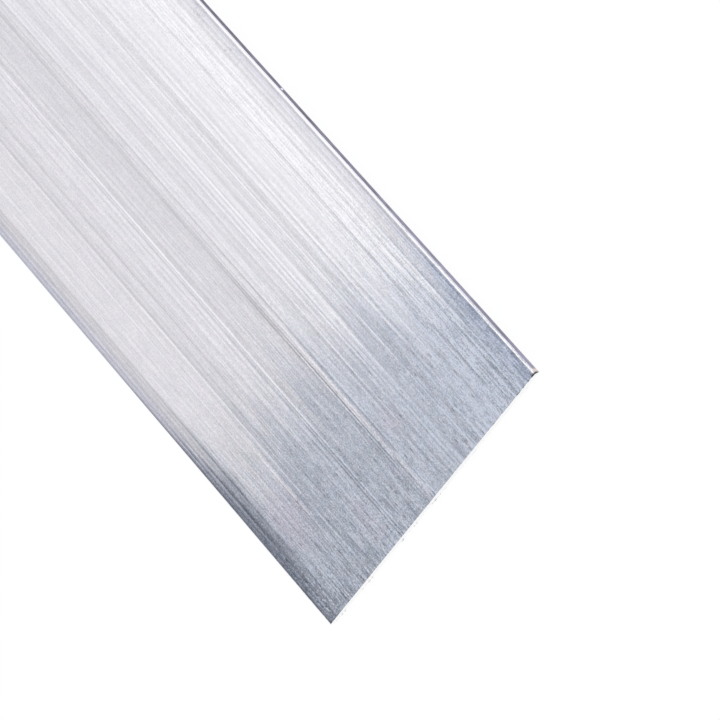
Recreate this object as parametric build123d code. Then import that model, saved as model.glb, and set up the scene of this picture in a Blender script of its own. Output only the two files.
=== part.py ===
"""Extruded aluminium flat bar, one piece of stock, cut square at both ends.

All sizes are in millimetres. The bar lies flat on its broad bottom face:
+X runs along its length, +Y across its width and +Z up through its thickness.
The origin is the middle of the bottom face.
"""

import os

from build123d import *

# ---- driving dimensions ----
bar_length = 1000.0      # cut length, between the two sawn ends
bar_width = 80.0         # over the two long edges
bar_thickness = 2.0      # at the flat middle of the section
corner_radius = 0.45     # rounding where a broad face turns into a long edge
edge_wash_width = 5.0    # strip beside each long edge where the broad face falls away
edge_wash_drop = 0.09    # how far the broad face has fallen at the long edge

# ---- sizes that follow from them ----
half_width = bar_width / 2
half_thickness = bar_thickness / 2
flat_half_width = half_width - edge_wash_width
edge_half_height = half_thickness - edge_wash_drop
rounding_share = 0.9     # most of a long edge's half height that its rounding may take
rounding = min(corner_radius, rounding_share * edge_half_height)


def quarter_profile():
    """One quarter of the section's outline, in the sketch plane: x across, y up.

    The broad face is flat as far as the edge wash. There it leaves the flat on an arc that
    starts tangent to it, and the long edge goes down from the arc's end to mid height.
    """
    face_middle = (0, half_thickness)
    wash_start = (flat_half_width, half_thickness)
    edge_top = (half_width, edge_half_height)
    edge_middle = (half_width, 0)
    flat = Line(face_middle, wash_start)
    wash = TangentArc(wash_start, edge_top, tangent=(1, 0))
    edge = Line(edge_top, edge_middle)
    return Curve() + [flat, wash, edge]


def section():
    """The die's opening: four mirrored quarters, with the four corners rounded."""
    quarter = quarter_profile()
    half = quarter + mirror(quarter, about=Plane.YZ)
    outline = half + mirror(half, about=Plane.XZ)
    face = make_face(outline.edges())
    corners = face.vertices().filter_by(
        lambda point: abs(abs(point.X) - half_width) < 1e-6 and abs(abs(point.Y) - edge_half_height) < 1e-6
    )
    return fillet(corners, rounding)


def flat_bar():
    """The section pushed along X and cut square at both ends."""
    across_the_bar = Plane(
        origin=(-bar_length / 2, 0, half_thickness),
        x_dir=(0, 1, 0),
        z_dir=(1, 0, 0),
    )
    return extrude(across_the_bar * section(), bar_length)


def main():
    bar = flat_bar()
    os.makedirs("parts", exist_ok=True)
    export_step(bar, "parts/flat_bar.step")
    size = bar.bounding_box().size
    print(f"flat_bar: {size.X:.2f} x {size.Y:.2f} x {size.Z:.2f} mm, {bar.volume / 1000:.2f} cm3")


main()
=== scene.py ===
# %% [markdown]
# # A flat bar of mill-finish aluminium
#
# A flat bar is one piece of stock. Hot metal was pushed through a steel die, so everything on its
# skin runs along the bar: fine die lines, broad pale and grey bands, a shallow fall beside each long
# edge. A saw then cut it square, which left a bright, rough end with a little burr.
#
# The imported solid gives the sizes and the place. This script swaps in one finely divided mesh of the
# same bar, so that the die lines are real relief, and gives each kind of surface its own material.

# %% Load the frame
import math
import random

import bpy
import numpy as np
from mathutils import Matrix, Vector


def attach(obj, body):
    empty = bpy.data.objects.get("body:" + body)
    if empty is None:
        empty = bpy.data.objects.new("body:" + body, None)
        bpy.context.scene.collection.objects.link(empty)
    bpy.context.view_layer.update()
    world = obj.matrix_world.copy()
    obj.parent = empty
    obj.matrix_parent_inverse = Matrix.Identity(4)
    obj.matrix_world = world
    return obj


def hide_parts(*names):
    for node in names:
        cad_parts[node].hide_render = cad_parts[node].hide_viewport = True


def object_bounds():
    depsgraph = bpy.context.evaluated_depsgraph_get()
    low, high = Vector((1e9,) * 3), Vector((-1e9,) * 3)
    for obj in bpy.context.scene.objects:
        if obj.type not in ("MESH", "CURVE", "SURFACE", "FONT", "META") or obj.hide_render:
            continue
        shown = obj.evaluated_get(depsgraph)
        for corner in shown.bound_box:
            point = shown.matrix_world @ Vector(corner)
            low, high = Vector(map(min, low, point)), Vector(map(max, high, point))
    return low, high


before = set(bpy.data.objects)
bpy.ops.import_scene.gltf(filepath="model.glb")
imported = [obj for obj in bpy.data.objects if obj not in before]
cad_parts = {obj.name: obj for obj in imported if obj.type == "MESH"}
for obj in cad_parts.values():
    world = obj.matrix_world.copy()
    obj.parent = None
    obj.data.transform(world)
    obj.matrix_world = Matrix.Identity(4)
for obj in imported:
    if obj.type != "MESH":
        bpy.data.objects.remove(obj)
cad_low, cad_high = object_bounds()
MM = 0.001
MICRON = 0.000001
print("bar", [round(v / MM, 2) for v in (cad_high - cad_low)], "mm")

# %% [markdown]
# ## The camera
#
# The camera goes first, because every choice of detail depends on what it can see. It could be
# placed by hand, but a product shot is easier to read as a point it looks at, a distance, two angles
# and a roll. A long lens keeps the bar's edges almost parallel.

# %% Look down on the sawn end
LENS_MM = 166.0
AIM_FROM_END = 31.54 * MM    # how far behind the sawn end the middle of the view lies
AIM_ACROSS = 10.54 * MM
CAMERA_DISTANCE = 693.52 * MM
CAMERA_TURN = math.radians(60.315)      # round from the bar's length
CAMERA_LIFT = math.radians(53.159)
CAMERA_ROLL = math.radians(-106.876)

lens = bpy.data.cameras.new("camera")
lens.lens = LENS_MM
lens.sensor_width = 36
lens.clip_start = 0.01
lens.clip_end = 100
camera = bpy.data.objects.new("camera", lens)
bpy.context.scene.collection.objects.link(camera)
bpy.context.scene.camera = camera
aim = Vector((cad_high.x - AIM_FROM_END, AIM_ACROSS, cad_high.z))
level = math.cos(CAMERA_LIFT)
back = Vector((level * math.cos(CAMERA_TURN), level * math.sin(CAMERA_TURN), math.sin(CAMERA_LIFT)))
upright = back.to_track_quat("Z", "Y").to_matrix().to_4x4()
rolled = upright @ Matrix.Rotation(CAMERA_ROLL, 4, "Z")
camera.matrix_world = Matrix.Translation(aim + back * CAMERA_DISTANCE) @ rolled
print("camera at", [round(v, 4) for v in camera.matrix_world.translation])

# %% [markdown]
# ## The section
#
# The bar's section is almost a rectangle. Its broad faces fall away a little beside each long edge,
# and its corners are rounded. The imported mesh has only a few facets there, so the outline is worked
# out again from the same sizes: a flat, a shallow arc tangent to it, and a small corner arc tangent
# to both the shallow one and the upright edge.

# %% Sizes of the section
CORNER_RADIUS = 0.45 * MM
WASH_WIDTH = 5.0 * MM        # the shallow fall beside each long edge
WASH_DROP = 0.09 * MM

bar_length = cad_high.x - cad_low.x
half_width = (cad_high.y - cad_low.y) / 2
half_thickness = (cad_high.z - cad_low.z) / 2
mid_height = (cad_high.z + cad_low.z) / 2
flat_half_width = half_width - WASH_WIDTH
wash_radius = (WASH_WIDTH ** 2 + WASH_DROP ** 2) / (2 * WASH_DROP)
corner_across = half_width - CORNER_RADIUS
corner_angle = math.asin((corner_across - flat_half_width) / (wash_radius - CORNER_RADIUS))
corner_height = half_thickness - wash_radius + (wash_radius - CORNER_RADIUS) * math.cos(corner_angle)
wash_end = flat_half_width + wash_radius * math.sin(corner_angle)
print("wash radius", round(wash_radius / MM, 1), "mm, ends", round(wash_end / MM, 3), "mm from the middle")

# %% The top's outline, from one long edge to the other
FACE_COLUMNS = 681
CORNER_STEPS = 9


def top_outline():
    """Columns from the -Y edge to the +Y edge: place across, height, and tilt of the normal."""
    face = np.linspace(-wash_end, wash_end, FACE_COLUMNS)
    past_flat = np.sign(face) * np.maximum(np.abs(face) - flat_half_width, 0)
    face_height = half_thickness - wash_radius + np.sqrt(wash_radius ** 2 - past_flat ** 2)
    face_tilt = np.arcsin(past_flat / wash_radius)
    turn = np.linspace(corner_angle, math.pi / 2, CORNER_STEPS + 1)[1:]
    corner_y = corner_across + CORNER_RADIUS * np.sin(turn)
    corner_z = corner_height + CORNER_RADIUS * np.cos(turn)
    across = np.concatenate([-corner_y[::-1], face, corner_y])
    height = np.concatenate([corner_z[::-1], face_height, corner_z])
    tilt = np.concatenate([-turn[::-1], face_tilt, turn])
    return across, height, tilt


across, height, tilt = top_outline()
columns = len(across)
from_edge = (across + half_width) / MM
print(columns, "columns,", round((across[columns // 2] - across[columns // 2 - 1]) / MM, 3), "mm apart")

# %% [markdown]
# ## Die lines and bands
#
# A die scratches the same line into every metre of bar it makes, so one profile across the width
# serves the whole length. The lines that catch the eye are listed, and seeded small ones fill the
# space between. A pale line is a ridge and a dark one a groove, so each line's height follows its
# tint. A bump texture could draw them, but real relief also shows in the outline of the sawn end.

# %% Main lines
# from the -Y edge in mm, width in mm, and how much paler the metal is there
MAIN_LINES = (
    (1.45, 0.4, -0.10), (2.1, 0.5, 0.19), (2.75, 0.5, -0.10), (3.35, 0.4, 0.06), (4.05, 0.4, -0.04),
    (4.4, 0.3, 0.05), (4.85, 0.5, -0.13), (5.7, 0.7, 0.05), (6.72, 0.4, 0.08), (7.15, 0.3, -0.04),
    (7.85, 0.5, -0.05), (8.82, 0.55, 0.11), (9.3, 0.3, -0.05), (11.15, 0.4, 0.04), (12.2, 0.45, -0.08),
    (12.65, 0.4, 0.06), (13.25, 0.3, -0.04), (13.95, 0.4, -0.07), (15.0, 0.5, 0.05), (16.83, 0.42, 0.14),
    (17.45, 0.5, -0.17), (17.9, 0.3, 0.04), (18.45, 0.5, -0.05), (18.9, 0.3, -0.05), (19.4, 0.35, 0.05),
    (20.18, 0.42, 0.15), (20.9, 0.5, -0.10), (23.25, 0.5, 0.05), (24.55, 0.6, -0.17), (25.5, 0.5, 0.09),
    (27.25, 0.35, 0.07), (27.75, 0.35, -0.08), (28.2, 0.35, 0.08), (29.18, 0.45, -0.13), (29.8, 0.3, -0.11),
    (30.24, 0.25, 0.30), (30.75, 0.3, -0.08),
    (31.7, 0.3, -0.03), (32.1, 0.4, 0.07), (32.9, 0.4, -0.04), (33.9, 0.3, 0.05), (35.65, 0.5, -0.05),
    (37.15, 0.4, 0.09), (37.9, 0.35, -0.03), (38.25, 0.4, 0.05), (39.5, 0.3, -0.32), (39.8, 0.25, -0.09),
    (40.2, 0.24, -0.12), (40.5, 0.3, 0.12), (40.85, 0.3, -0.12), (41.25, 0.45, 0.14), (42.12, 0.32, -0.18),
    (42.4, 0.25, -0.07), (42.68, 0.32, 0.13), (43.75, 0.6, 0.06), (45.85, 0.4, -0.06), (46.95, 0.5, -0.23),
    (47.65, 0.35, 0.11), (48.9, 0.4, -0.07), (49.55, 0.4, 0.11), (50.25, 0.35, -0.07), (50.8, 0.3, 0.07),
    (51.3, 0.3, -0.11), (51.8, 0.35, 0.14), (52.3, 0.35, -0.12), (53.3, 0.7, 0.10), (53.9, 0.3, -0.11),
    (54.25, 0.5, -0.08), (56.0, 0.35, -0.08), (57.55, 0.4, 0.11), (58.05, 0.3, -0.14), (59.1, 0.5, -0.12),
    (59.88, 0.35, -0.17), (60.4, 0.5, 0.12), (61.3, 0.45, -0.13), (61.9, 0.4, 0.11), (62.6, 0.4, -0.15),
    (64.7, 0.4, 0.14), (65.75, 0.35, -0.09), (66.15, 0.7, -0.06), (67.4, 0.4, 0.06), (68.9, 0.35, 0.08),
    (69.55, 0.5, -0.20), (70.2, 0.4, 0.09), (71.65, 0.35, 0.16), (72.1, 0.4, -0.08), (72.9, 0.4, 0.16),
    (73.65, 0.4, -0.10), (74.05, 0.3, -0.05), (74.45, 0.3, 0.15), (74.9, 0.25, -0.06), (75.25, 0.45, 0.12),
    (76.3, 0.4, -0.10), (77.65, 0.35, -0.16), (78.15, 0.4, 0.08), (79.1, 0.4, -0.21),
)
MAIN_RISE = 15.0             # height in microns for each 1.0 of tint
print(len(MAIN_LINES), "main lines")

# %% Seeded lines between them
FINE_LINES = 260
FINE_PLACE = (0, 80)         # mm from the -Y edge
FINE_WIDTH = (0.22, 0.55)    # mm
FINE_TINT = 0.0156
FINE_RISE = 60.0


def fine_lines(seed):
    """Small lines in the form of MAIN_LINES."""
    dice = random.Random(seed)
    lines = []
    for _ in range(FINE_LINES):
        place, width = dice.uniform(*FINE_PLACE), dice.uniform(*FINE_WIDTH)
        lines.append((place, width, dice.gauss(0, FINE_TINT)))
    return lines


def bell(place, middle, width):
    """A smooth hump, 1 at its middle and about half as high a half width away."""
    return np.exp(-(((place - middle) / (0.6 * width)) ** 2))


def die_tint(lines):
    """How much paler each column is."""
    tint = np.zeros(columns)
    for middle, width, shade in lines:
        tint += shade * bell(from_edge, middle, width)
    return tint


main_tint, fine_tint, under_tint = die_tint(MAIN_LINES), die_tint(fine_lines(3)), die_tint(fine_lines(8))
top_tint = main_tint + fine_tint
top_relief = MAIN_RISE * main_tint + FINE_RISE * fine_tint
under_relief = FINE_RISE * under_tint
print("relief from", round(top_relief.min(), 1), "to", round(top_relief.max(), 1), "microns")

# %% [markdown]
# Broader bands come from how evenly the metal left the die. Some are simply paler. In others the
# surface leans a hair along the bar, so that they pick up a bright part of the room sooner or later
# than their neighbours do. That is why a reflection on such a bar ends in long, uneven tongues. The
# rounded corner by the +Y edge is made much paler, a painted highlight on top of the white strip that
# it mirrors. A painted mask could hold all this, but every band runs from end to end, so a short list
# across the width is enough.

# %% Broad bands
# from the -Y edge in mm, how pale the metal looks there, and how strong the marks of wear are on it
BANDS_AND_CORNER_HIGHLIGHT = (
    (0, 0.88, 1.0), (2, 0.86, 1.0), (4.6, 0.87, 1.0), (5.3, 0.99, 0.95), (13, 1.0, 0.95), (16.5, 1.0, 0.95),
    (17.3, 0.94, 1.0), (20.5, 0.945, 1.0), (22, 0.975, 1.0), (26, 1.02, 1.0), (30.4, 1.015, 1.0),
    (31.2, 0.925, 1.0), (39, 0.925, 1.0), (42.4, 0.955, 0.95), (43.5, 1.0, 0.9), (50, 1.01, 0.88),
    (52.8, 1.015, 0.72), (54.5, 0.99, 0.8), (56, 1.0, 0.97), (60, 1.01, 1.0), (61, 1.045, 1.0),
    (63.5, 1.05, 0.95), (64, 1.05, 0.8), (67, 1.075, 0.85), (68, 1.08, 1.24), (70, 1.085, 1.24),
    # from 79.6 mm on, the rounded corner is made much paler: a painted highlight
    (75.6, 1.065, 1.24), (76.2, 0.985, 1.1), (79.4, 0.985, 1.0), (79.6, 1.2, 1.0), (80, 1.2, 1.0),
)
# from the -Y edge in mm, and how far each lane leans along the bar, in thousandths of a radian
LANES = (
    (0, 2), (3.5, 5), (4.8, 10), (5.4, 3), (6.5, -5), (8, -6), (9, -4), (10.5, -7), (12, -5), (13.5, -8),
    (15.5, -5), (17.3, 1.5), (21, 0.5), (25.5, 0), (26.5, -2), (29, -1), (30.5, 0), (36, 1), (40.44, 1),
    (40.54, -16), (41.3, -16), (41.6, 1), (45, 2), (51, -2), (54, 0), (55, 1.5), (59.5, 1.5), (61, -1.5),
    (66, -3.5), (68, -2), (71, -3), (74.5, -5), (75.5, -5), (80, -6),
)
LANE_DRIFT = 0.5             # mm that the lanes wander towards +Y at the near cut
LANE_DRIFT_REACH = 10.0      # mm from the cut
UNDERSIDE_BAND = 0.97

band_places, band_and_highlight_shades, band_marks = zip(*BANDS_AND_CORNER_HIGHLIGHT)
band_and_highlight_shade = np.interp(from_edge, band_places, band_and_highlight_shades)
band_marking = np.interp(from_edge, band_places, band_marks)


def lane_lean(drift):
    """How each column leans along the bar, in radians."""
    return np.interp(from_edge - drift, *zip(*LANES)) / 1000


print("bands from", band_and_highlight_shade.min().round(2), "to", band_and_highlight_shade.max().round(2))

# %% [markdown]
# ## The mesh
#
# The outline is repeated at stations along the bar, close together by the sawn ends, where there are
# burrs, and far apart in between. Each end is closed by a grid that joins the top's columns to the
# underside's. Extruding a curve would be shorter to write, but would give no grid on the ends and no
# say over where the stations lie.

# %% Stations along the bar and rows up its edges
FIRST_STEP = 0.15 * MM
STEP_GROWTH = 1.28
LONGEST_STEP = 60 * MM
ROWS = (0.0, 0.05, 0.14, 0.3, 0.5, 0.7, 0.88, 1.0)


def stations():
    """Places along the bar: short steps by the sawn ends, growing towards the middle."""
    places, step = [0.0], FIRST_STEP
    while places[-1] < bar_length / 2 - LONGEST_STEP:
        places.append(places[-1] + step)
        step = min(step * STEP_GROWTH, LONGEST_STEP)
    half = np.array(places)
    return np.concatenate([cad_low.x + half, [0.0], cad_high.x - half[::-1]])


along = stations()
rows = len(ROWS)
top_row, last_column = rows - 1, columns - 1
ring = (
    [(c, top_row) for c in range(columns)]
    + [(last_column, r) for r in range(top_row - 1, 0, -1)]
    + [(c, 0) for c in range(last_column, -1, -1)]
    + [(0, r) for r in range(1, top_row)]
)
ring_size = len(ring)
ring_column, ring_row = np.array(ring).T
print(len(along), "stations,", ring_size, "points round the section")

# %% [markdown]
# A point of the section is found by its column and row. The top row takes the top's relief and the
# bottom row the underside's. Both are pushed in along the surface's normal, so the bar never grows
# past its packed size.

# %% Points of the section
deepest = max(top_relief.max(), under_relief.max())


def pushed_in(relief):
    """The outline's places and heights after the relief is cut in. It fades out round the corners."""
    depth = (deepest - relief) * MICRON * np.cos(tilt) ** 2
    return across - np.sin(tilt) * depth, height - np.cos(tilt) * depth


top_y, top_z = pushed_in(top_relief)
under_y, under_z = pushed_in(under_relief)
share = np.array(ROWS)
section = np.zeros((columns, rows, 2))
section[:, :, 0] = np.outer(under_y, 1 - share) + np.outer(top_y, share)
section[:, :, 1] = np.outer(-under_z, 1 - share) + np.outer(top_z, share) + mid_height
print("section", section.shape)

# %% [markdown]
# ## The sawn ends
#
# A coarse saw leaves shallow ridges down the cut and a thin, ragged burr where its teeth leave the
# metal, here along the bottom edge. The last strip of the upper edge tore a little too, and the corner
# where the cut ended has a thicker, dark tag. The dark of the lower burr is partly painted shade, and
# the cut's bottom rows get more painted shade, for the dark line where the bar meets the floor. The
# burr could be a separate strip, but it is the same metal, so it is drawn out of the same mesh.

# %% How far each point of the cut stands out
SAW_PITCH = 1.3 * MM
SAW_DEPTH = 12 * MICRON
SAW_LEAN = (0.3, 0.6)        # how far a ridge moves across the bar for each step up
SMALL_RIDGES = 0.6, 2.7, 1.3            # their height, how much closer they are, and their shift
BURR_TAGS = 70
BURR_WIDTH = (0.2, 0.9)      # mm
BURR_REACH = 0.16 * MM
BURR_RARITY = 2.5            # the higher it is, the fewer tags reach far
FULL_BURR = 0.07 * MM        # a burr this long shows its full dark colour
UPPER_BURR_FROM = 22 * MM
UPPER_BURR_FADE = 8 * MM
UPPER_BURR_SHARE = 0.3       # its reach, as a share of the lower one's
# places across the bar, and how much lower burr there is, and how much painted shade the lower edge gets
LOWER_BURR = (0, 8 * MM), (1.0, 0.3)
LOWER_EDGE_SHADE = (-5 * MM, 5 * MM), (0.15, 0.05)
CORNER_BURR_REACH = 0.07 * MM
CORNER_BURR_WIDTH = 1.5 * MM
CORNER_BURR_UP = (0.0, 0.35, 0.6), (0.3, 0.6, 1.0)      # share of the thickness, and how much burr
CORNER_DARKNESS = 3.0


def saw_ridges(y, z, seed):
    """Broad ridges with smaller ones over them, none of them higher than 0."""
    lean = random.Random(seed).uniform(*SAW_LEAN)
    ridge = 2 * math.pi * (y + lean * z) / SAW_PITCH
    small, closer, shift = SMALL_RIDGES
    return -SAW_DEPTH * (1 + small - np.sin(ridge) - small * np.sin(closer * ridge + shift)) / 2


def burr(y, seed):
    """How far an edge's burr sticks out, tag by tag."""
    dice = random.Random(seed)
    reach = np.zeros_like(y)
    for _ in range(BURR_TAGS):
        middle = dice.uniform(-half_width, half_width)
        width = dice.uniform(*BURR_WIDTH) * MM
        reach = np.maximum(reach, dice.random() ** BURR_RARITY * BURR_REACH * bell(y, middle, width))
    return reach


def cut_offsets(seed):
    """Offset outwards of each column and row of one sawn end, and how dark it is with burr and painted
    shade.
    """
    y, z = section[:, :, 0], section[:, :, 1]
    corner = np.clip((y - half_width + CORNER_BURR_WIDTH) / CORNER_BURR_WIDTH, 0, 1)
    rim = np.zeros_like(corner)
    rim[:, top_row] = 1
    rim[last_column, :] = np.interp(share, *CORNER_BURR_UP)
    middle = y[:, 0]
    lower = burr(middle, seed + 1) * np.interp(middle, *LOWER_BURR)
    upper = burr(middle, seed + 2) * np.clip((middle - UPPER_BURR_FROM) / UPPER_BURR_FADE, 0, 1)
    raised = CORNER_BURR_REACH * corner ** 2 * rim
    dark = np.clip(CORNER_DARKNESS * corner, 0, 1) * rim
    raised[:, 0] += lower
    raised[:, top_row] += UPPER_BURR_SHARE * upper
    # the lower burr is dark, partly as painted shade, and the two bottom rows get painted shade where the
    # bar meets the floor
    dark[:, 0] = np.maximum(dark[:, 0], np.clip(lower / FULL_BURR, 0, 1))
    dark[:, :2] = np.maximum(dark[:, :2], np.interp(middle, *LOWER_EDGE_SHADE)[:, None])
    dark[:, top_row] = np.maximum(dark[:, top_row], np.clip(upper / FULL_BURR, 0, 1))
    return saw_ridges(y, z, seed) + raised, dark


near_cut, near_burr_and_shade = cut_offsets(21)
far_cut, far_burr_and_shade = cut_offsets(22)
print("burr reaches", round(near_cut.max() / MM, 2), "mm past the cut")

# %% [markdown]
# ## Putting the bar together
#
# All the points go into one list: ring after ring from the far end to the near one, then the inner
# points of both cuts. Faces only hold numbers into that list. Writing the lists with numpy and
# handing them over once is far quicker than adding quads one at a time.

# %% Points
body_points = np.zeros((len(along), ring_size, 3))
body_points[:, :, 0] = along[:, None]
body_points[:, :, 1:] = section[ring_column, ring_row]
body_points[0, :, 0] -= far_cut[ring_column, ring_row]
body_points[-1, :, 0] += near_cut[ring_column, ring_row]
body_count = len(along) * ring_size


def inner_points(x, side, cut):
    """The points of one cut that no ring holds."""
    inner = np.zeros((columns - 2, rows - 2, 3))
    inner[:, :, 0] = x + side * cut[1:-1, 1:-1]
    inner[:, :, 1:] = section[1:-1, 1:-1]
    return inner.reshape(-1, 3)


far_inner = inner_points(cad_low.x, -1, far_cut)
near_inner = inner_points(cad_high.x, 1, near_cut)
points = np.concatenate([body_points.reshape(-1, 3), far_inner, near_inner])
print(len(points), "points")

# %% Faces
def cut_grid(first_ring_point, first_inner_point):
    """Point numbers of one cut, by column and row."""
    grid = np.zeros((columns, rows), int)
    grid[ring_column, ring_row] = first_ring_point + np.arange(ring_size)
    grid[1:-1, 1:-1] = first_inner_point + np.arange((columns - 2) * (rows - 2)).reshape(columns - 2, -1)
    return grid


def grid_quads(grid):
    """Four point numbers for every cell of a grid."""
    corners = (grid[:-1, :-1], grid[1:, :-1], grid[1:, 1:], grid[:-1, 1:])
    return np.stack(corners, -1).reshape(-1, 4)


start = np.arange(ring_size)
after = np.roll(start, -1)
here = np.arange(len(along) - 1)[:, None] * ring_size
there = here + ring_size
body_faces = np.stack([here + start, there + start, there + after, here + after], -1).reshape(-1, 4)
far_faces = grid_quads(cut_grid(0, body_count))[:, ::-1]
near_faces = grid_quads(cut_grid(body_count - ring_size, body_count + len(far_inner)))
faces = np.concatenate([body_faces, far_faces, near_faces])
mesh = bpy.data.meshes.new("flat_bar_skin")
mesh.from_pydata(points.tolist(), [], faces.tolist())
mesh.update()
bar = bpy.data.objects.new("flat_bar_skin", mesh)
bpy.context.scene.collection.objects.link(bar)
print(len(faces), "faces, so", 2 * len(faces), "triangles")

# %% [markdown]
# The mesh also carries what the materials need to know. Each face says which of three surfaces it
# is: mill finish, upright long edge or sawn end. Each point says how pale its band is, with the painted
# highlight on the rounded +Y corner, how much it is marked, how strong its die line is, how its lane
# leans, and how much it is darkened as burr and as painted shade along a cut's bottom edge. Painted
# masks could say the same, but the numbers are at hand and exact. The rims of the cuts are marked
# sharp, and everything else is shaded smooth.

# %% Kinds of surface
MILL, LONG_EDGE, SAWN = 0, 1, 2
UPPER_TILT = 1.18            # radians from straight up, past which a corner counts as the long edge
LOWER_TILT = 1.50            # the same for the lower corners, from straight down

upright_point = np.abs(tilt[ring_column]) > np.where(ring_row == 0, LOWER_TILT, UPPER_TILT)
kind = np.full(len(faces), SAWN)
kind[: len(body_faces)] = np.tile(np.where(upright_point & upright_point[after], LONG_EDGE, MILL), len(here))
mesh.polygons.foreach_set("material_index", kind)
mesh.polygons.foreach_set("use_smooth", np.ones(len(faces), bool))

edge_points = np.zeros(len(mesh.edges) * 2, int)
mesh.edges.foreach_get("vertices", edge_points)
edge_points = edge_points.reshape(-1, 2)
on_far_rim = edge_points < ring_size
on_near_rim = (edge_points >= body_count - ring_size) & (edge_points < body_count)
sharp = on_far_rim.all(1) | on_near_rim.all(1)
mesh.attributes.new("sharp_edge", "BOOLEAN", "EDGE").data.foreach_set("value", sharp)
print("faces by kind", np.bincount(kind), "and", int(sharp.sum()), "sharp edges")

# %% Numbers for the materials
# the smudges carry the cut's painted shade inwards as well as its burr
CORNER_SMUDGE = (1.0, 0.5)   # how much of the corner's burr shows one and two stations further in
EDGE_SMUDGE = 0.4            # how much of the rest shows one station further in


def store(name, skin, cuts=0.0):
    """Give each point of the skin its own number, and the inner points of the cuts one number."""
    values = np.full(len(points), float(cuts))
    values[:body_count] = np.broadcast_to(skin, (len(along), ring_size)).ravel()
    mesh.attributes.new(name, "FLOAT", "POINT").data.foreach_set("value", values)
    print(name, "from", round(float(values.min()), 3), "to", round(float(values.max()), 3))


def ring_values(top, under, elsewhere=0.0):
    """One ring's numbers: the top's columns, the underside's, and the edges between them."""
    below = np.where(ring_row == 0, np.broadcast_to(under, columns)[ring_column], elsewhere)
    return np.where(ring_row == top_row, top[ring_column], below)


store("band", ring_values(band_and_highlight_shade, UNDERSIDE_BAND, 1.0), 1.0)
store("marking", ring_values(band_marking, 1.0, 1.0), 1.0)
store("die_line", ring_values(top_tint, under_tint))
drifts = LANE_DRIFT * np.exp((along - cad_high.x) / MM / LANE_DRIFT_REACH)
store("lane", [ring_values(lane_lean(drift), -lane_lean(0)[::-1]) for drift in drifts])

rim_burr_and_shade = near_burr_and_shade[ring_column, ring_row]
in_corner = across[ring_column] > half_width - CORNER_BURR_WIDTH
burr_and_shade_share = np.zeros((len(along), ring_size))
burr_and_shade_share[0] = far_burr_and_shade[ring_column, ring_row]
burr_and_shade_share[-1] = rim_burr_and_shade
burr_and_shade_share[-2] = rim_burr_and_shade * np.where(in_corner, CORNER_SMUDGE[0], EDGE_SMUDGE)
burr_and_shade_share[-3] = rim_burr_and_shade * np.where(in_corner, CORNER_SMUDGE[1], 0)
# the burr attribute also holds the painted shade along the cuts' bottom edge
store("burr", burr_and_shade_share)

# %% [markdown]
# ## A map for baked textures
#
# An automatic unwrap would waste most of a texture on a bar this thin. So its map is given here:
# the top and the underside as two wide strips, the edges and the cuts as four thin ones. The last
# stretches by the cuts have the finest marks, so they get more than their share of the length.

# %% Lay out the map
END_STRETCH = 110 * MM
END_SHARE = 0.3
SIDE_MARGIN = 0.005
TOP_STRIP, UNDER_STRIP = (0.005, 0.435), (0.445, 0.875)
PLUS_Y_STRIP, MINUS_Y_STRIP = (0.885, 0.905), (0.915, 0.935)
NEAR_STRIP, FAR_STRIP = (0.945, 0.965), (0.975, 0.995)


def strip(place, span):
    """Places from 0 to 1, laid into a strip of the map."""
    return span[0] + place * (span[1] - span[0])


def cut_map(quads, span):
    """Map of one cut: its width along the texture, its thickness across the strip."""
    u = strip((points[quads, 1] / half_width + 1) / 2, (SIDE_MARGIN, 1 - SIDE_MARGIN))
    return np.stack([u, strip(points[quads, 2] / (2 * half_thickness), span)], -1)


corner_stops = [cad_low.x, cad_low.x + END_STRETCH, cad_high.x - END_STRETCH, cad_high.x]
along_map = np.interp(along, corner_stops, [SIDE_MARGIN, END_SHARE, 1 - END_SHARE, 1 - SIDE_MARGIN])
outline_step = np.hypot(np.diff(across), np.diff(height))
unrolled = np.concatenate([[0], np.cumsum(outline_step)]) / outline_step.sum()
sides = (strip(unrolled, TOP_STRIP), strip(share[::-1], PLUS_Y_STRIP),
         strip(unrolled[::-1], UNDER_STRIP), strip(share, MINUS_Y_STRIP))
body_map = np.zeros((len(here), ring_size, 4, 2))
body_map[:, :, [0, 3], 0] = along_map[:-1, None, None]
body_map[:, :, [1, 2], 0] = along_map[1:, None, None]
body_map[:, :, [0, 1], 1] = np.concatenate([side[:-1] for side in sides])[None, :, None]
body_map[:, :, [2, 3], 1] = np.concatenate([side[1:] for side in sides])[None, :, None]
corner_map = [body_map.ravel(), cut_map(far_faces, FAR_STRIP).ravel()]
corner_map.append(cut_map(near_faces, NEAR_STRIP).ravel())
mesh.uv_layers.new(name="OFBake").data.foreach_set("uv", np.concatenate(corner_map))
print("map for", len(mesh.loops), "face corners")

# %% [markdown]
# ## Marks on the metal
#
# Most marks here are noise drawn out along the bar, at different sizes. One shader group makes it, and
# each use says how wide and how long its streaks are. Coordinates come from the object in metres, so
# the sizes are real and the marks stay with the bar when it is moved. Node trees are long to write
# out, so helpers come first. They add nodes to the tree that was opened last.

# %% Small helpers for node trees
tree = None


def put(value, socket):
    """Link a socket to a socket, or set a number or a colour on it."""
    if isinstance(value, bpy.types.NodeSocket):
        tree.links.new(value, socket)
    else:
        socket.default_value = value


def fill(node, **values):
    """Put values into inputs by name, with _ for each space."""
    for label, value in values.items():
        put(value, node.inputs[label.replace("_", " ")])
    return node


def add_node(kind, *inputs, **settings):
    """A shader node with its settings made and its first inputs filled."""
    node = tree.nodes.new("ShaderNode" + kind)
    for name, value in settings.items():
        setattr(node, name, value)
    for socket, value in zip(node.inputs, inputs):
        put(value, socket)
    return node


def maths(operation, *values):
    """A Math node's result."""
    return add_node("Math", *values, operation=operation).outputs[0]


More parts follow.
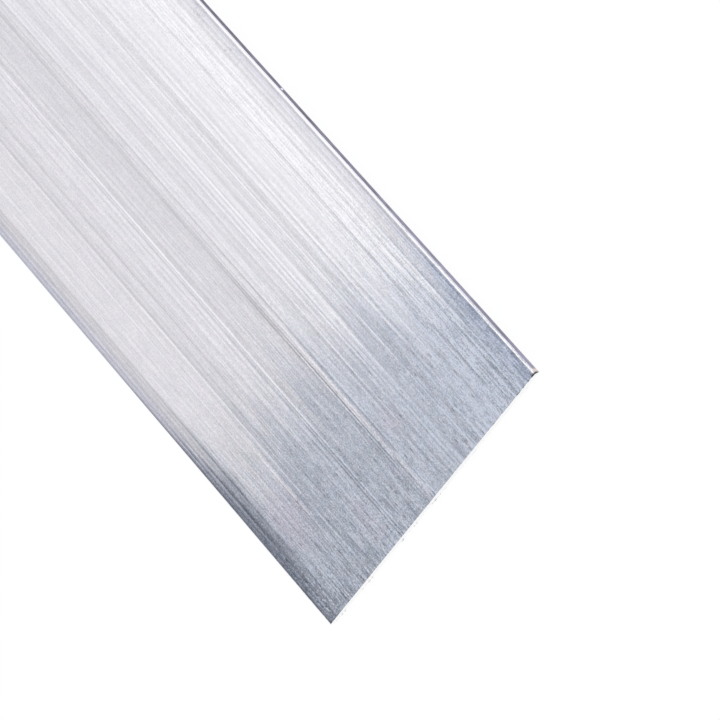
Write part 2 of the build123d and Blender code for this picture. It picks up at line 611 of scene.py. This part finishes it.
def weighted(terms):
    """The sum of values, each times its own weight."""
    total = 0.0
    for value, weight in terms:
        total = maths("MULTIPLY_ADD", value, weight, total)
    return total


def eased(value, low, high):
    """0 below low and 1 above high, smooth in between. With low above high it runs the other way."""
    return add_node("MapRange", value, low, high, interpolation_type="SMOOTHSTEP").outputs[0]


def object_place():
    """The three object coordinates, in metres."""
    return add_node("SeparateXYZ", add_node("TexCoord").outputs["Object"]).outputs


def new_group(name, inputs, build, kind="Float"):
    """Make a shader group with one output, and return a function that places it in a tree."""
    global tree
    tree = group = bpy.data.node_groups.new(name, "ShaderNodeTree")
    for label, value in inputs.items():
        tree.interface.new_socket(label, in_out="INPUT", socket_type="NodeSocketFloat").default_value = value
    tree.interface.new_socket(name, in_out="OUTPUT", socket_type="NodeSocket" + kind)
    given = tree.nodes.new("NodeGroupInput").outputs
    put(build(*(given[label] for label in inputs)), tree.nodes.new("NodeGroupOutput").inputs[0])
    print("group", name, "with", list(inputs))
    return lambda *values: add_node("Group", *values, node_tree=group).outputs[0]


print("helpers ready")

# %% Drawn-out streaks
def stretched_place(across_mm, along_mm):
    """Object coordinates divided by the size of a mark along and across the bar."""
    x, y, z = object_place()
    per_along, per_across = (maths("DIVIDE", 1 / MM, size) for size in (along_mm, across_mm))
    scales = ((x, per_along), (y, per_across), (z, per_across))
    return add_node("CombineXYZ", *(maths("MULTIPLY", value, scale) for value, scale in scales)).outputs[0]


def streaks(across_mm, along_mm, seed, wander, contrast):
    """Streaks of a given size, from -1 to 1."""
    noise = add_node("TexNoise", stretched_place(across_mm, along_mm), noise_dimensions="4D")
    fill(noise, W=seed, Scale=1.0, Detail=1.0, Distortion=wander)
    strong = maths("MULTIPLY", maths("SUBTRACT", noise.outputs["Fac"], 0.5), contrast)
    return maths("MINIMUM", maths("MAXIMUM", strong, -1.0), 1.0)


streak_inputs = {"Across mm": 0.3, "Along mm": 300, "Seed": 0, "Wander": 0, "Contrast": 4}
drawn_streaks = new_group("drawn_streaks", streak_inputs, streaks)

# %% [markdown]
# Handling and sawing wear the last few centimetres by a cut more than the rest. A second group says
# how near a place is to one of the two cuts, so that every mark can grow or fade with it.

# %% Nearness to a cut
def nearness(reach_mm):
    """1 at a cut, fading to 0 at the reach."""
    from_middle = maths("ABSOLUTE", object_place()["X"])
    from_cut = maths("MULTIPLY_ADD", from_middle, -1 / MM, bar_length / 2 / MM)
    return eased(maths("DIVIDE", from_cut, reach_mm), 1.0, 0.0)


near_cuts = new_group("near_cuts", {"Reach mm": 60}, nearness)

# %% [markdown]
# A third group scatters specks: crumbs of metal that stuck to the hot bar, high spots rubbed bright,
# and small dark pits. It uses the cells of a Voronoi texture, because each cell has its own random
# colour, and that decides which cells get a speck at all.

# %% Specks
def scattered(across_mm, along_mm, size, chance):
    """1 in a speck and 0 outside. The size is the speck's radius in its cell."""
    cells = fill(add_node("TexVoronoi", stretched_place(across_mm, along_mm)), Scale=1.0).outputs
    chosen = maths("LESS_THAN", add_node("SeparateXYZ", cells["Color"]).outputs["X"], chance)
    return maths("MULTIPLY", eased(maths("DIVIDE", cells["Distance"], size), 1.0, 0.5), chosen)


specks = new_group("specks", {"Across mm": 1, "Along mm": 1, "Size": 0.3, "Chance": 0.3}, scattered)

# %% [markdown]
# A die line's walls lean by a degree or so. A Bump node would need a height for that, and a height
# that leans enough along the bar would lean far more across it, because streaks are thin. So a fourth
# group leans the normal directly, by separate small angles across and along.

# %% Leaned normal
def leaned(across, along):
    """The surface's normal, leaned by two small angles in radians."""
    lean = add_node("CombineXYZ", along, across).outputs[0]
    spaces = {"vector_type": "VECTOR", "convert_from": "OBJECT", "convert_to": "WORLD"}
    lean = add_node("VectorTransform", lean, **spaces).outputs[0]
    normal = add_node("NewGeometry").outputs["Normal"]
    total = add_node("VectorMath", normal, lean, operation="ADD").outputs[0]
    return add_node("VectorMath", total, operation="NORMALIZE").outputs[0]


leaned_normal = new_group("leaned_normal", {"Across": 0, "Along": 0}, leaned, "Vector")

# %% [markdown]
# Other marks sit at one place: shallow dents, rubbed or stained patches, and lines that stop and
# start. A painted image could hold them, but one fine enough for so long a bar is large. So each is an
# oval with a soft rim, made by one more group and given in millimetres, and has its own amount. Those
# of one sort are added together.

# %% Ovals
def spot(first, second, fade_from):
    """1 inside and 0 outside, by two distances in half sizes. It begins to fade at this share of them."""
    squares = maths("MULTIPLY_ADD", first, first, maths("MULTIPLY", second, second))
    return eased(maths("SQRT", squares), 1.0, fade_from)


def soft_oval(from_cut, from_side, half_length, half_wide, fade_from):
    """A spot by the +X cut, in mm: its place from the cut and from the -Y edge, and its half sizes."""
    x, y, _ = object_place()
    to_cut = maths("MULTIPLY_ADD", x, -1 / MM, cad_high.x / MM)
    to_side = maths("MULTIPLY_ADD", y, 1 / MM, half_width / MM)
    along_bar = maths("DIVIDE", maths("SUBTRACT", to_cut, from_cut), half_length)
    across_bar = maths("DIVIDE", maths("SUBTRACT", to_side, from_side), half_wide)
    return spot(along_bar, across_bar, fade_from)


oval_inputs = {"From cut mm": 0, "From side mm": 0, "Half length mm": 1, "Half width mm": 1, "Fade from": 0}
oval = new_group("oval", oval_inputs, soft_oval)


def in_ovals(ovals, fade_from):
    """The amounts of all the ovals that a place is in, added together."""
    return weighted(((oval(*place, fade_from), amount) for *place, amount in ovals))


# %% Where the marks are
# from the cut, from the -Y edge, half length and half width, all in mm, and then the amount

# how far the surface leans across the bar, in thousandths of a radian
DENTS = ((3, 1.4, 11, 2.6, 10), (24, 3.6, 12, 1.6, -7), (35, 5.3, 9, 2.0, -6))
# how much paler the metal is
SMEARS_AND_HIGHLIGHT = (
    (8, 41.6, 20, 0.8, 0.07), (0, 13.5, 12, 10, -0.11), (7, 33.5, 6, 3, -0.09), (0, 51, 7, 7, -0.10),
    (12.2, 70.3, 1.8, 1.3, 0.08), (17.2, 66.8, 2.6, 0.9, -0.10), (10, 72.3, 4, 2.2, -0.17),
    (3, 75.4, 8, 1.7, -0.10), (3, 28, 12, 2.3, 0.07), (24, 38, 9, 2.5, 0.06), (26, 57.5, 6, 3.5, -0.07),
    (22, 2, 16, 4, -0.08), (4, 0.3, 18, 1.0, -0.17), (36, 6, 12, 1.3, -0.11), (42, 12, 14, 6, -0.07),
    # the oval at 79.95 mm from the -Y edge dims the rounded corner's painted highlight near the cut
    (24, 62.5, 9, 2.6, -0.07), (47, 57.5, 10, 2.8, 0.05), (16, 79.95, 50, 0.38, -0.15),
    (36, 33, 13, 3, -0.04), (34, 50, 12, 3, -0.04), (0, 4, 5, 4, -0.12), (0, 15, 3, 3, -0.08),
    (45, 40.7, 22, 0.6, -0.09), (62, 0.5, 22, 0.5, -0.10), (26, 79.2, 11, 0.6, 0.07),
    (42, 76.8, 12, 0.7, -0.11),
    # lines that stop and start
    (29, 40.28, 28, 0.24, -0.50), (58, 40.15, 20, 0.28, -0.20), (54, 39.52, 20, 0.3, -0.18),
    (27, 39.95, 26, 0.24, 0.30), (36, 4.87, 26, 0.3, -0.22), (6, 72.9, 12, 0.35, 0.28),
    (8.5, 73.75, 9, 0.5, -0.25), (7, 18.9, 9, 0.3, -0.10), (12, 29.24, 26, 0.35, -0.24),
    (38, 2.12, 20, 0.4, 0.28), (34, 2.85, 16, 0.45, -0.42), (12, 13.95, 22, 0.4, -0.20),
    (30, 42.65, 15, 0.35, 0.16), (5, 42.12, 14, 0.4, 0.22), (26, 29.9, 24, 0.28, -0.20),
    (12, 66.15, 11, 0.5, -0.17), (22, 67.4, 28, 0.4, 0.10), (17, 69.52, 10, 0.45, -0.20),
    (8, 20.9, 18, 0.45, 0.12), (32, 78.12, 12, 0.4, 0.09), (3, 17.45, 8, 0.45, 0.12),
    (8, 30.2, 22, 0.3, -0.16), (34, 16.88, 14, 0.35, 0.14), (3, 17.9, 8, 0.35, 0.20),
    (3, 7.9, 10, 0.35, -0.18), (3, 22.4, 8, 0.35, 0.12), (3, 35.62, 9, 0.35, -0.20),
    (15, 75.05, 7, 0.35, -0.18),
)
# how much warmer the metal is, and how much pinker
STAINS = (
    (21, 10, 13, 8, 1.2, 1.9), (8, 25.5, 9, 4, 1.2, 1.7), (18, 46.5, 5, 4.5, 1.2, 1.7),
    (12, 41.4, 19, 1, 2.0, 0.8),
)
# how much more or less the metal was worn by hands and by the saw's clamp
WEAR_PATCHES = (
    (4, 11, 11, 8, 0.35), (14, 70.5, 10, 5, 0.25), (24, 11, 15, 7, -0.32), (6, 54, 16, 12, -0.22),
)
print(len(SMEARS_AND_HIGHLIGHT), "smears and lines,", len(STAINS), "stains,", len(DENTS), "dents")

# %% Patches of scuffs
SCUFFS = ((99.3, 76.7, 2.0, 1.0), (95.8, 77.3, 3.4, 1.2), (108.0, 78.2, 4.0, 1.8))
SCUFF_FADE = 0.6
FULL_SCUFF = 0.6


def scuffs(*streak_size):
    """Short rubs in oval patches."""
    patches = 0.0
    for place in SCUFFS:
        patches = maths("MAXIMUM", oval(*place, SCUFF_FADE), patches)
    return maths("MULTIPLY", eased(drawn_streaks(*streak_size), 0.0, FULL_SCUFF), patches)


print(len(SCUFFS), "patches")

# %% [markdown]
# ## Mill finish
#
# Aluminium as it comes from the die is bright but not polished. It reflects the room as a soft,
# smeared image, and the smear is longer across the grain than along it. A metallic shader with a low
# roughness and some anisotropy gives that. Burr is the same metal, but so ragged that it looks dark.
# It crosses from one kind of surface to the next, so a group darkens it in all three materials. The
# same group puts painted shade on the cuts' bottom edge, where the bar meets the floor.

# %% Starting a material
WARMER = (0.014, 0.0, -0.014)
PINKER = (0.006, -0.010, 0.004)
BURR_AND_SHADE_DARKNESS = 0.95


def open_tree(owner):
    """Empty the node tree of a material or a world, and add nodes to it from now on."""
    global tree
    owner.use_nodes = True
    tree = owner.node_tree
    tree.nodes.clear()


def new_metal(name):
    """Give the skin one more metallic material, and return its shader."""
    material = bpy.data.materials.new(name)
    mesh.materials.append(material)
    open_tree(material)
    shader = fill(add_node("BsdfPrincipled"), Metallic=1.0)
    add_node("OutputMaterial", shader.outputs[0])
    print("material", name)
    return shader


def attribute(name):
    """A number that the mesh carries."""
    return add_node("Attribute", attribute_name=name).outputs["Fac"]


def shaded(colour, shade):
    """A colour made darker or paler by a value near 1."""
    return fill(add_node("VectorMath", colour, operation="SCALE"), Scale=shade).outputs[0]


def tinged(colour, amount, tint):
    """A colour with a tint added where a value is above 0, and taken away where it is below."""
    return add_node("VectorMath", amount, tint, colour, operation="MULTIPLY_ADD").outputs[0]


def darkened_by_burr_and_shade(shade, darkness):
    """A shade, darkened where the mesh says that the metal is burr, and where it holds painted shade."""
    clean = maths("SUBTRACT", 1.0, maths("MULTIPLY", attribute("burr"), darkness))
    return maths("MULTIPLY", clean, shade)


burr_and_shade_darkened = new_group("burr_and_shade_darkened", {"Shade": 1, "Burr darkness": BURR_AND_SHADE_DARKNESS}, darkened_by_burr_and_shade)

# %% [markdown]
# The finish is mixed like paint. First come the parts, each a number at every place: streaks of many
# sizes, nearness to the cuts, specks, ovals, and what the mesh carries. Then recipes say how much of
# each goes into brightness, colour, gloss and lean. The numbers could stand in the nodes, but recipes
# are easier to read and to change.

# %% Parts of the mill finish
HANDLED_FROM, HANDLED_FULLY = -26 * MM, -36 * MM        # places across the bar

MILL_PARTS = (
    # width and length in mm, seed, and how much they wander
    (drawn_streaks, {
        "fine": (0.36, 350, 1), "hair": (0.29, 420, 13), "wide": (1.6, 300, 2), "fading": (1.2, 45, 3),
        "strokes": (0.36, 5, 4, 0.2), "dashes": (0.34, 0.9, 5, 0.3), "grain": (0.26, 0.28, 10),
        "blotches": (1.8, 5, 6), "fine_tongues": (0.36, 40, 7), "broad_tongues": (2.4, 25, 8),
        "warm_patches": (2.0, 2.3, 14), "pink_patches": (2.2, 2.8, 16),
    }),
    (scuffs, {"scuffs": (0.9, 0.7, 9, 1.0)}),
    # how many mm from a cut it reaches
    (near_cuts, {"far": (150,), "near": (75,), "nearest": (25,), "by_cut": (16,)}),
    # width and length of a cell in mm, the speck's size in it, and the share of cells that have one
    (specks, {
        "few_specks": (1.1, 1.4, 0.32, 0.10), "more_specks": (0.9, 1.1, 0.36, 0.7),
        "pits": (0.5, 1.6, 0.5, 0.05),
    }),
    # the ovals, and the share of their size at which they begin to fade
    (in_ovals, {
        "dents": (DENTS, 0.0), "smears_and_highlight": (SMEARS_AND_HIGHLIGHT, 0.3), "wear_patches": (WEAR_PATCHES, 0.2),
        "warm_stains": ([(*place, warm) for *place, warm, _ in STAINS], 0.2),
        "pink_stains": ([(*place, pink) for *place, _, pink in STAINS], 0.2),
    }),
    (attribute, {name: (name,) for name in ("band", "marking", "die_line", "lane")}),
    (lambda *ends: eased(object_place()["Y"], *ends), {"handled": (HANDLED_FROM, HANDLED_FULLY)}),
)


def make_parts(table):
    """The parts by name. The one named everywhere is 1, for what a recipe has at every place."""
    parts = {"everywhere": 1.0}
    for make, uses in table:
        parts.update({name: make(*inputs) for name, inputs in uses.items()})
    return parts


def stir(parts, steps):
    """Mix parts into a new one by their shares. Where the name is a part already, multiply it by the mix."""
    for name, recipe in steps:
        mix = weighted(((parts[part], amount) for part, amount in recipe.items()))
        parts[name] = maths("MULTIPLY", parts[name], mix) if name in parts else mix


print(sum(len(uses) for _, uses in MILL_PARTS), "parts")

# %% [markdown]
# Where the metal dragged on the die or was rubbed later, it is mottled: strokes, shorter dashes, soft
# blotches, and a grain as fine as sand. All of it is stronger by the cuts, and weaker on bands that
# left the die smooth. Pale specks and dark pits lie there too, most of the specks in the corner that
# was handled. Die lines come and go a little along the bar, and with the hairlines between them are
# clearest away from the cuts. Thin oxide adds faint warm and pink patches.

# %% Stirring the parts together
MILL_STEPS = (
    ("dragged", {"strokes": 0.44, "dashes": 0.34, "blotches": 0.25}),
    ("dragged", {"everywhere": 0.27, "near": 0.55, "nearest": 0.45, "wear_patches": 1}),
    ("grain", {"everywhere": 0.25, "near": 0.54}),
    ("mottle", {"dragged": 1, "grain": 1}),
    ("mottle", {"marking": 1}),
    ("more_specks", {"by_cut": 1}),
    ("more_specks", {"handled": 1}),
    ("few_specks", {"near": 1}),
    ("bright", {"few_specks": 0.6, "more_specks": 1.35}),
    ("pits", {"near": 1}),
    ("die_line", {"everywhere": 1, "fading": 0.5}),
    ("die_line", {"everywhere": 0.62, "far": 0.6, "near": -0.28}),
    ("hair", {"everywhere": 0.2, "far": 0.8, "near": -0.52, "nearest": -0.40}),
    ("hair", {"marking": 1}),
    ("hair", {"marking": 1}),
    ("warm_patches", {"everywhere": 0.35, "near": 0.9}),
    ("pink_patches", {"everywhere": 0.35, "near": 0.9}),
)
# the light and colour of the metal, its roughness, and how it leans, in radians
MILL_LOOKS = (
    ("marks", {
        "die_line": 1, "hair": 0.19, "fine": 0.06, "wide": 0.02, "mottle": 0.44, "bright": 0.25,
        "pits": -0.42, "scuffs": -0.16, "smears_and_highlight": 1,
    }),
    ("warmth", {"warm_patches": 1, "mottle": 1.6, "warm_stains": 1}),
    ("pinkness", {"pink_patches": 1, "pink_stains": 1}),
    ("roughness", {"everywhere": 0.10, "fine": 0.02, "mottle": 0.02}),
    ("across", {"fine": 0.007, "mottle": 0.008, "bright": 0.012, "dents": 0.001}),
    ("along", {"fine_tongues": 0.009, "broad_tongues": 0.0025, "lane": 1}),
)
print(len(MILL_STEPS), "steps and", len(MILL_LOOKS), "looks")

# %% [markdown]
# Brightness is an exponent of the marks' sum, so that a mark changes a pale band and a grey one by
# the same share. The metal's own colour stays well below 1, to leave room for the pale marks, and the
# light is made a little stronger instead.

# %% Mill finish
METAL = (0.79, 0.79, 0.803)

shader = new_metal("mill_finish")
parts = make_parts(MILL_PARTS)
stir(parts, MILL_STEPS + MILL_LOOKS)
# the band part also carries the rounded corner's painted highlight
shade = maths("MULTIPLY", parts["band"], maths("EXPONENT", parts["marks"]))
colour = tinged(tinged(METAL, parts["warmth"], WARMER), parts["pinkness"], PINKER)
round_the_bar = add_node("Tangent", direction_type="RADIAL", axis="X").outputs[0]
fill(shader, Base_Color=shaded(colour, burr_and_shade_darkened(shade)), Roughness=parts["roughness"])
fill(shader, Normal=leaned_normal(parts["across"], parts["along"]), Anisotropic=0.4, Tangent=round_the_bar)

# %% [markdown]
# ## Long edges
#
# The upright edges were never rubbed by the rollers that carry the bar, so they keep a dull skin. Its
# dark violet-grey is painted shade as well, a painted reflection of darker surroundings than the white
# floor that these edges mirror here. It is stained in streaks and spots, and worn thinner by the cuts,
# where hands and clamps take hold. At the cut the saw tore it brown, and one nick shows the bright
# metal underneath. The mill finish could fade into it by a mask, but the mesh knows which faces are
# upright, so they simply get a material of their own.

# %% Long edge
# the dull skin's tint; with the low levels in EDGE_SHADE it makes the edges dark with painted shade
EDGE_SKIN_IN_SHADE = (1.0, 0.97, 1.28)
EDGE_SHADE = {
    "everywhere": 0.213, "stain": 0.06, "spots": 0.07, "rubbed": 0.06, "worn": 0.07, "handled": 0.10,
    "nick": 0.8,
}
EDGE_GLOSS = 0.3             # roughness, which the sawn ends share
TORN_EDGE = (0.80, 0.68, 0.62, 1.0)
TORN_FULLY = 1.7             # the higher it is, the more of its reach is torn fully
NICK_FROM_CUT = 82.6 * MM
NICK_HALF_SIZE = 0.42 * MM
NICK_FADE = 0.5


def offset(coordinate, middle, half_size):
    """How far a coordinate is from a middle, counted in half sizes."""
    return maths("MULTIPLY_ADD", coordinate, 1 / half_size, -middle / half_size)


def nick():
    """1 inside a small round nick in the +Y edge."""
    x, y, z = object_place()
    along_bar = offset(x, cad_high.x - NICK_FROM_CUT, NICK_HALF_SIZE)
    up = offset(z, mid_height, NICK_HALF_SIZE)
    on_plus_y = maths("GREATER_THAN", y, 0.0)
    return maths("MULTIPLY", spot(along_bar, up, NICK_FADE), on_plus_y)


def mixed(mask, first, second):
    """The first colour where the mask is 0, the second where it is 1."""
    node = add_node("Mix", mask, data_type="RGBA")
    colours = [socket for socket in node.inputs if socket.type == "RGBA"]
    put(first, colours[0])
    put(second, colours[1])
    return next(socket for socket in node.outputs if socket.type == "RGBA")


EDGE_PARTS = (
    (drawn_streaks, {"stain": (0.6, 9.0, 11), "spots": (0.7, 2.2, 15)}),
    (near_cuts, {"rubbed": (90,), "handled": (9,), "torn": (1.7,)}),
    (oval, {"worn": (33, 80, 24, 4, 0.3)}),
    (nick, {"nick": ()}),
)
shader = new_metal("long_edge")
parts = make_parts(EDGE_PARTS)
stir(parts, [("shade", EDGE_SHADE)])
torn = maths("MINIMUM", maths("MULTIPLY", parts["torn"], TORN_FULLY), 1.0)
edge = mixed(torn, shaded(EDGE_SKIN_IN_SHADE, parts["shade"]), TORN_EDGE)
fill(shader, Base_Color=shaded(edge, burr_and_shade_darkened(1.0)), Roughness=EDGE_GLOSS)

# %% [markdown]
# ## Sawn end
#
# Freshly cut aluminium is the palest surface on the bar. The saw's ridges are in the mesh, and the
# shader only adds a rougher gloss and the finest scratches. A fuller texture would not be seen on a
# face that is only as tall as the bar is thick.

# %% Sawn end
FRESH_METAL = (0.985, 0.98, 0.975)
SCRATCH_CONTRAST = 0.015

shader = new_metal("sawn_end")
scratches = drawn_streaks(0.5, 0.5, 12)
shade = burr_and_shade_darkened(maths("MULTIPLY_ADD", scratches, SCRATCH_CONTRAST, 1.0))
fill(shader, Base_Color=shaded(FRESH_METAL, shade), Roughness=EDGE_GLOSS)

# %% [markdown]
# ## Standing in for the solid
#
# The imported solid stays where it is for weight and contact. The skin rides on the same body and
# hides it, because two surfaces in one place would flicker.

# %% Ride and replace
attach(bar, "root")
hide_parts("flat_bar")
print(bar.name, "stands for flat_bar")

# %% [markdown]
# ## The floor
#
# A product shot lies on white paper that is lit until it vanishes. A brighter lamp would do that, but
# it would bleach the metal too. So the floor itself glows a little, only for the camera and for
# reflections, and its own dim colour still takes the bar's shadow.

# %% Floor
FLOOR_SIZE = 60.0
FLOOR_COLOUR = (0.133, 0.133, 0.133, 1.0)
FLOOR_GLOW = 0.91

white_floor = bpy.data.materials.new("white_floor")
open_tree(white_floor)
path = add_node("LightPath").outputs
seen = maths("MAXIMUM", path["Is Camera Ray"], path["Is Glossy Ray"])
seen = maths("MAXIMUM", seen, path["Is Transmission Ray"])
glow = fill(add_node("Emission"), Strength=maths("MULTIPLY", seen, FLOOR_GLOW))
paper = add_node("BsdfDiffuse", FLOOR_COLOUR)
both = add_node("AddShader", paper.outputs[0], glow.outputs[0])
add_node("OutputMaterial", both.outputs[0])
bpy.ops.mesh.primitive_plane_add(size=FLOOR_SIZE, location=(0, 0, cad_low.z))
floor = bpy.context.object
floor.name = "floor"
floor.data.materials.append(white_floor)
print("floor", FLOOR_SIZE, "m square")

# %% [markdown]
# ## The light
#
# Metal shows its surroundings, so the light is a whole room and not a lamp. Most of the room is soft
# grey. Over the bar hangs a work light of three parts side by side: a dark side, a large pale panel
# that starts a little way along the bar, and a white strip. The near end mirrors the dark side, the
# rest the panel, and the rounded corner the strip. Lamps would be hard to shape like this, so the room
# is a world background, drawn by two angles: one round the bar's length, one along it.

# %% The work light, by the angle round the bar
# degrees from straight up, towards +Y positive, and the light there. Where the tint isn't the usual one
# for so much light, two more numbers say how much bluer and how much pinker it is.
WHITE_STRIP = ((-24.2, 0.92), (-8, 1.0), (18, 1.0), (45, 0.78), (60, 0.70), (90, 0.70))
DARK_SIDE = (
    (-90, 0.20), (-41, 0.20), (-39.5, 0.215), (-38.5, 0.265, -0.1), (-37.4, 0.37), (-36.4, 0.51),
    (-35.4, 0.505), (-34.8, 0.60), (-34.3, 0.54), (-33.3, 0.60), (-32.1, 0.64), (-31.5, 0.56, 0.3),
    (-29.8, 0.53, 0.8), (-29, 0.53, 1.4), (-28.2, 0.44, 2.0), (-27.4, 0.385, 2.3), (-26, 0.395, 2.3),
) + WHITE_STRIP
PANEL = (
    (-90, 0.60, 0.4, 1), (-41, 0.60, 0.4, 1), (-39.8, 0.61, 0.4, 1), (-39.2, 0.67, 0.4, 0.9),
    (-38.6, 0.79, -0.3, 0.4), (-38, 0.85, -0.6), (-37.3, 0.86, -0.6), (-36.6, 0.84, -0.6),
    (-35.6, 0.83, -0.5), (-35, 0.825, -0.3), (-33.8, 0.85, -0.1), (-33, 0.865), (-31.5, 0.95),
    (-30.5, 0.93), (-29, 0.88), (-28.2, 0.84, 0.2), (-27.4, 0.77, 0.4), (-26.2, 0.79),
) + WHITE_STRIP
# amounts of light, and their usual tints
TINTS = (
    (0.22, (0.87, 0.965, 1.24)), (0.42, (0.90, 0.984, 1.13)), (0.58, (0.908, 0.984, 1.12)),
    (0.70, (0.985, 0.98, 1.10)), (0.82, (0.996, 0.98, 1.05)), (0.97, (1.0, 1.0, 1.0)),
)
BLUER_LIGHT = (-0.02, 0.0, 0.06)
PINKER_LIGHT = (0.035, 0.0, 0.02)
LIGHT_LEVEL = 1.125          # makes up for metal that is kept below full white


def tinted(light, bluer=0, pinker=0):
    """Red, green and blue for an amount of light."""
    levels, tints = zip(*TINTS)
    usual = [float(np.interp(light, levels, channel)) for channel in zip(*tints)]
    changes = [1 + blue * bluer + pink * pinker for blue, pink in zip(BLUER_LIGHT, PINKER_LIGHT)]
    return [LIGHT_LEVEL * light * tint * change for tint, change in zip(usual, changes)]


def ramp(place, lights):
    """Lights from the first stop to the last, read by a value from 0 to 1."""
    node = add_node("ValToRGB", place)
    first, last = lights[0][0], lights[-1][0]
    stops = node.color_ramp.elements
    for angle, *_ in lights[1:-1]:
        stops.new((angle - first) / (last - first))
    for stop, (_, *light) in zip(stops, lights):
        stop.color = (*tinted(*light), 1)
    return node.outputs["Color"]


print("dark side", len(DARK_SIDE), "stops, panel", len(PANEL), "stops")

# %% [markdown]
# The room round the work light shows only in the edges and from other sides. Plain grey walls would do,
# but metal in a plain room looks like paper, so the walls get wide upright folds.

# %% The room round it
# how high over the floor, as the sine of the angle, and the light there
WALLS = ((0.0, 0.80), (0.35, 0.70), (1.0, 0.52))
FOLDS = {"X": 2.0, "Y": 1.0}            # soft folds in the walls, per unit of direction
FOLD_CONTRAST = 0.16


def room_light(toward):
    """Soft grey walls, palest by the floor, with wide upright folds."""
    turns = weighted(((toward[axis], 2 * math.pi * folds) for axis, folds in FOLDS.items()))
    fold = maths("MULTIPLY_ADD", maths("SINE", turns), FOLD_CONTRAST, 1.0)
    return shaded(ramp(toward["Z"], WALLS), fold)


print("walls from", WALLS[0][1], "to", WALLS[-1][1])

# %% The world
PANEL_MIDDLE = -0.296        # where the panel starts, as the sine of the angle from square to the bar
PANEL_SLANT = 0.145          # how much further along it starts, per radian to either side of this angle
PANEL_NEAREST = math.radians(-37)
PANEL_SOFTNESS = 0.009
LIGHT_NEAR = (-0.16, -0.21)  # where the work light begins, as the same sine
LIGHT_FAR = (-0.52, -0.47)
LIGHT_SIDE = (math.radians(-64), math.radians(-50))
STRIP_SIDE = (math.radians(68), math.radians(55))
WHITE = (1.0, 1.0, 1.0, 1.0)


def work_light(toward, turn):
    """The dark side and the panel. The panel starts further along the bar to either side."""
    place = maths("MULTIPLY_ADD", turn, 1 / math.pi, 0.5)
    lights = [ramp(place, stops) for stops in (DARK_SIDE, PANEL)]
    aside = maths("ABSOLUTE", maths("SUBTRACT", turn, PANEL_NEAREST))
    panel_start = maths("MULTIPLY_ADD", aside, -PANEL_SLANT, PANEL_MIDDLE)
    past_start = maths("SUBTRACT", panel_start, toward["X"])
    return mixed(eased(past_start, -PANEL_SOFTNESS, PANEL_SOFTNESS), *lights)


sky = bpy.data.worlds.new("studio")
open_tree(sky)
toward = add_node("SeparateXYZ", add_node("TexCoord").outputs["Generated"]).outputs
turn = maths("ARCTAN2", toward["Y"], toward["Z"])
in_light = eased(toward["X"], *LIGHT_NEAR)
for value, limits in ((toward["X"], LIGHT_FAR), (turn, LIGHT_SIDE), (turn, STRIP_SIDE)):
    in_light = maths("MULTIPLY", in_light, eased(value, *limits))
room = mixed(in_light, room_light(toward), work_light(toward, turn))
# the camera itself sees plain white
to_camera = add_node("LightPath").outputs["Is Camera Ray"]
background = add_node("Background", mixed(to_camera, room, WHITE))
add_node("OutputWorld", background.outputs[0])
bpy.context.scene.world = sky
bpy.context.scene.view_settings.view_transform = "Standard"
print("world", bpy.context.scene.world.name)
